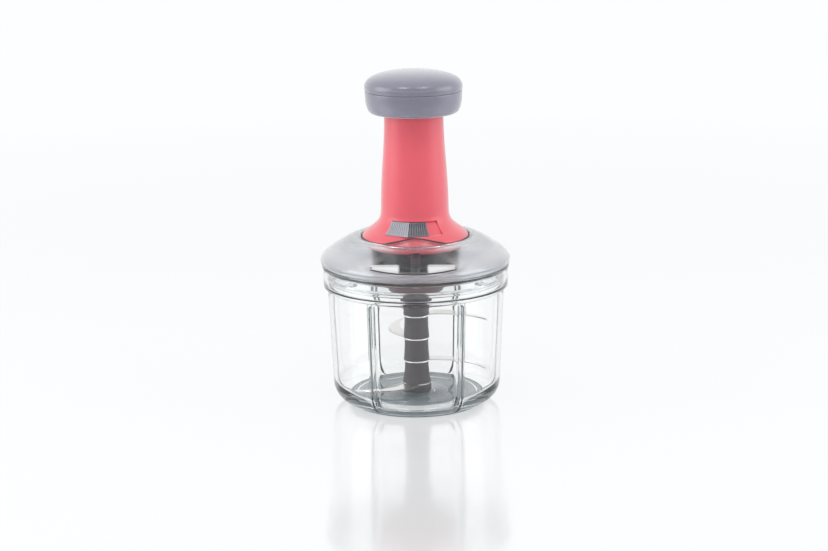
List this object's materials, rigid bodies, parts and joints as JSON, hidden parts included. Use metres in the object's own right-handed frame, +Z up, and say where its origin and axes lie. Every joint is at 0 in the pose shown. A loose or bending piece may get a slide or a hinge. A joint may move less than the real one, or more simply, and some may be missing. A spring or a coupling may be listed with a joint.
{
  "type": "plunger food chopper",
  "caption": "Hand-pumped food chopper: clear bowl, domed lid with a column and push knob, and sickle blades turned through a helical spindle and planetary gears.",
  "frame": {"origin": "centre of the foot on the table", "axes": "+Z up along the axis of bowl, column and knob; -Y is the front with the lock slider; +X to the right"},
  "size_m": [0.134, 0.134, 0.2372],
  "materials": {
    "clear_bowl": "polished clear plastic with a faint green-grey tint",
    "smoky_dome": "satin smoky translucent plastic",
    "clear_plate": "polished clear plastic",
    "red_plastic": "smooth semi-gloss",
    "knob_plastic": "soft satin",
    "slider_plastic": "satin with upright ribs",
    "hub_plastic": "satin moulded",
    "boss_plastic": "semi-gloss",
    "case_plastic": "moulded",
    "white_nylon": "natural nylon",
    "soft_rubber": "soft matt",
    "seal_silicone": "translucent white silicone",
    "blade_steel": "ground with polished edges",
    "plain_steel": "machined",
    "bush_brass": "turned"
  },
  "bodies": {
    "bowl_body": {"bowl": "clear_bowl", "anti_slip_pad": "soft_rubber", "pivot_pin": "plain_steel"},
    "blade_unit": {"hub_core": "white_nylon", "hub_foot": "hub_plastic", "hub_spacer_1": "hub_plastic", "hub_spacer_2": "hub_plastic", "hub_spacer_3": "hub_plastic", "hub_top": "hub_plastic", "blade_1": "blade_steel", "blade_2": "blade_steel", "blade_3": "blade_steel", "blade_4": "blade_steel"},
    "lid": {"lid_dome": "smoky_dome", "lid_floor": "clear_plate", "lid_seal": "seal_silicone", "base_gasket": "soft_rubber", "drive_boss": "boss_plastic", "column_housing": "red_plastic", "guide_bush": "white_nylon", "housing_screws": "plain_steel", "lock_retainer": "case_plastic", "gear_case": "case_plastic", "gear_case_cover": "case_plastic", "ring_gear": "plain_steel", "spindle_bush": "bush_brass", "output_bush": "bush_brass", "shaft_seal": "soft_rubber", "spring_seat": "plain_steel", "return_spring": "plain_steel"},
    "plunger": {"knob_cap": "knob_plastic", "knob_skirt": "knob_plastic", "knob_screw": "plain_steel", "plunger_tube": "white_nylon", "drive_nut": "bush_brass", "nut_pins": "plain_steel"},
    "spindle_drive": {"spindle": "plain_steel", "clutch_plate": "plain_steel", "clutch_washer": "plain_steel", "planet_carrier": "case_plastic", "planet_pins": "plain_steel"},
    "planet_1": {"planet_gear_1": "white_nylon"},
    "planet_2": {"planet_gear_2": "white_nylon"},
    "planet_3": {"planet_gear_3": "white_nylon"},
    "output": {"output_shaft": "plain_steel", "sun_gear": "plain_steel"},
    "lock": {"lock_ring": "case_plastic", "lock_slider": "slider_plastic"}
  },
  "joints": [
    {"name": "blade_spin", "type": "hinge", "parent": "bowl_body", "child": "blade_unit", "pos_m": [0, 0, 0.0065], "axis": [0, 0, 1], "range_deg": [0, 1440]},
    {"name": "lid_lift", "type": "slide", "parent": "bowl_body", "child": "lid", "axis": [0, 0, 1], "range_m": [0, 0.12]},
    {"name": "knob_push", "type": "slide", "parent": "lid", "child": "plunger", "axis": [0, 0, -1], "range_m": [0, 0.024], "stiffness_N_per_m": 250, "springref_m": -0.03, "deforming": ["return_spring"]},
    {"name": "spindle_turn", "type": "hinge", "parent": "lid", "child": "spindle_drive", "pos_m": [0, 0, 0.115], "axis": [0, 0, 1], "range_deg": [0, 288]},
    {"name": "planet_1_turn", "type": "hinge", "parent": "spindle_drive", "child": "planet_1", "pos_m": [0, 0.012, 0.1044], "axis": [0, 0, 1], "range_deg": [-768, 0]},
    {"name": "planet_2_turn", "type": "hinge", "parent": "spindle_drive", "child": "planet_2", "pos_m": [-0.01039, -0.006, 0.1044], "axis": [0, 0, 1], "range_deg": [-768, 0]},
    {"name": "planet_3_turn", "type": "hinge", "parent": "spindle_drive", "child": "planet_3", "pos_m": [0.01039, -0.006, 0.1044], "axis": [0, 0, 1], "range_deg": [-768, 0]},
    {"name": "output_turn", "type": "hinge", "parent": "lid", "child": "output", "pos_m": [0, 0, 0.1], "axis": [0, 0, 1], "range_deg": [0, 1440]},
    {"name": "lock_slide", "type": "hinge", "parent": "lid", "child": "lock", "pos_m": [0, 0, 0.13175], "axis": [0, 0, 1], "range_deg": [0, 18]}
  ],
  "couplings": [
    {"joint": "blade_spin", "follows": "knob_push", "rad_per_m": 1047.2},
    {"joint": "spindle_turn", "follows": "knob_push", "rad_per_m": 209.44},
    {"joint": "planet_1_turn", "follows": "knob_push", "rad_per_m": -558.51},
    {"joint": "planet_2_turn", "follows": "knob_push", "rad_per_m": -558.51},
    {"joint": "planet_3_turn", "follows": "knob_push", "rad_per_m": -558.51},
    {"joint": "output_turn", "follows": "knob_push", "rad_per_m": 1047.2}
  ]
}
